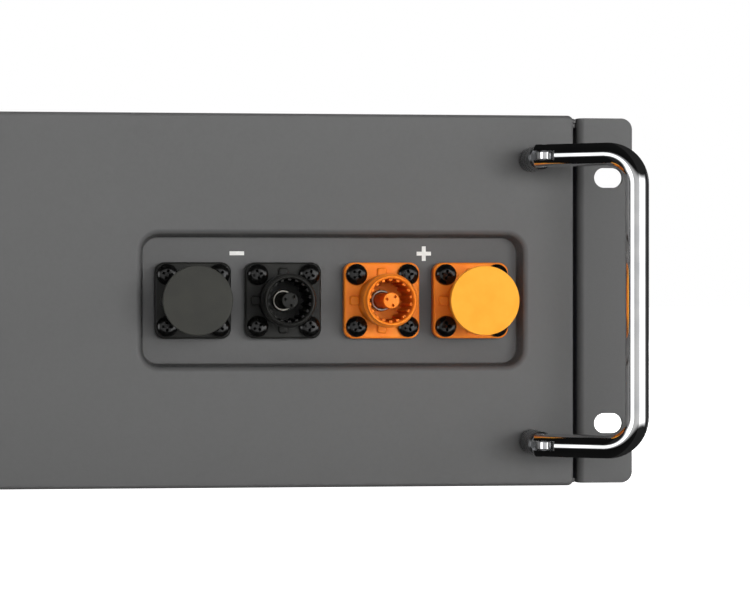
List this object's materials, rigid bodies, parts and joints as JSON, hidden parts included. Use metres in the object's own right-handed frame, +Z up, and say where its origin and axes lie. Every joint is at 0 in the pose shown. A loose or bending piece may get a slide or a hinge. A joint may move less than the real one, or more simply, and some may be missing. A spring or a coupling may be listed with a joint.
{
  "type": "rack-mount battery box",
  "caption": "Flat rack-mount battery box: grey steel case, slotted rack ears, folding chrome bail handles and recessed round power sockets in black and orange, some under dust caps.",
  "frame": {"origin": "centre of the chassis's bottom face", "axes": "+Z up, +X to the right as seen from the front, and the front panel faces -Y"},
  "size_m": [0.4826, 0.4814, 0.132],
  "materials": {
    "plain_sheet": "grey powder-coated steel sheet, fine texture",
    "grey_coat": "mid-grey powder coat, fine texture, satin",
    "chrome": "polished chrome plate",
    "black_nylon": "moulded glass-filled nylon, satin black",
    "orange_nylon": "moulded glass-filled nylon, satin orange",
    "gasket_rubber": "flat black rubber",
    "silvered_contact": "silver-plated copper, bright",
    "black_screw": "black oxide steel, glossy",
    "button_black": "moulded black plastic",
    "smoked_lens": "smoked clear plastic",
    "cell_wrap": "aluminium cell cans in blue shrink wrap",
    "copper_bar": "bare copper bar",
    "board_green": "green circuit board"
  },
  "bodies": {
    "case": {"chassis": "plain_sheet", "top_cover": "plain_sheet", "front_panel": "grey_coat", "socket_tray": "grey_coat", "control_tray": "grey_coat", "rack_ear_right": "grey_coat", "handle_post_upper_right": "chrome", "handle_post_lower_right": "chrome", "rack_ear_left": "grey_coat", "handle_post_upper_left": "chrome", "handle_post_lower_left": "chrome", "socket_housing_negative_outer": "black_nylon", "socket_gasket_negative_outer": "gasket_rubber", "socket_contact_negative_outer": "silvered_contact", "touch_guard_negative_outer": "black_nylon", "flange_screw_negative_outer_1": "black_screw", "flange_screw_negative_outer_2": "black_screw", "flange_screw_negative_outer_3": "black_screw", "flange_screw_negative_outer_4": "black_screw", "socket_housing_negative_inner": "black_nylon", "socket_gasket_negative_inner": "gasket_rubber", "socket_contact_negative_inner": "silvered_contact", "touch_guard_negative_inner": "black_nylon", "flange_screw_negative_inner_1": "black_screw", "flange_screw_negative_inner_2": "black_screw", "flange_screw_negative_inner_3": "black_screw", "flange_screw_negative_inner_4": "black_screw", "socket_housing_positive_inner": "orange_nylon", "socket_gasket_positive_inner": "gasket_rubber", "socket_contact_positive_inner": "silvered_contact", "touch_guard_positive_inner": "orange_nylon", "flange_screw_positive_inner_1": "black_screw", "flange_screw_positive_inner_2": "black_screw", "flange_screw_positive_inner_3": "black_screw", "flange_screw_positive_inner_4": "black_screw", "socket_housing_positive_outer": "orange_nylon", "socket_gasket_positive_outer": "gasket_rubber", "socket_contact_positive_outer": "silvered_contact", "touch_guard_positive_outer": "orange_nylon", "flange_screw_positive_outer_1": "black_screw", "flange_screw_positive_outer_2": "black_screw", "flange_screw_positive_outer_3": "black_screw", "flange_screw_positive_outer_4": "black_screw", "indicator_lens": "smoked_lens", "data_port_block": "button_black", "cell_bank_front": "cell_wrap", "cell_bank_rear": "cell_wrap", "bank_link": "copper_bar", "busbar_negative": "copper_bar", "busbar_positive": "copper_bar", "battery_management_board": "board_green"},
    "right_handle": {"handle_bail_right": "chrome", "handle_pin_upper_right": "chrome", "handle_pin_lower_right": "chrome"},
    "left_handle": {"handle_bail_left": "chrome", "handle_pin_upper_left": "chrome", "handle_pin_lower_left": "chrome"},
    "negative_cap": {"dust_cap_negative": "black_nylon"},
    "positive_cap": {"dust_cap_positive": "orange_nylon"},
    "button": {"power_button": "button_black"}
  },
  "joints": [
    {"name": "right_handle_fold", "type": "hinge", "parent": "case", "child": "right_handle", "pos_m": [0.2014, -0.251, 0.066], "axis": [0, 0, 1], "range_deg": [-60, 30]},
    {"name": "left_handle_fold", "type": "hinge", "parent": "case", "child": "left_handle", "pos_m": [-0.2014, -0.251, 0.066], "axis": [0, 0, -1], "range_deg": [-60, 30]},
    {"name": "negative_cap_pull", "type": "slide", "parent": "case", "child": "negative_cap", "axis": [0, -1, 0], "range_m": [0, 0.025]},
    {"name": "positive_cap_pull", "type": "slide", "parent": "case", "child": "positive_cap", "axis": [0, -1, 0], "range_m": [0, 0.025]},
    {"name": "power_button_press", "type": "slide", "parent": "case", "child": "button", "axis": [0, 1, 0], "range_m": [0, 0.002], "stiffness_N_per_m": 400, "springref_m": -0.001}
  ]
}
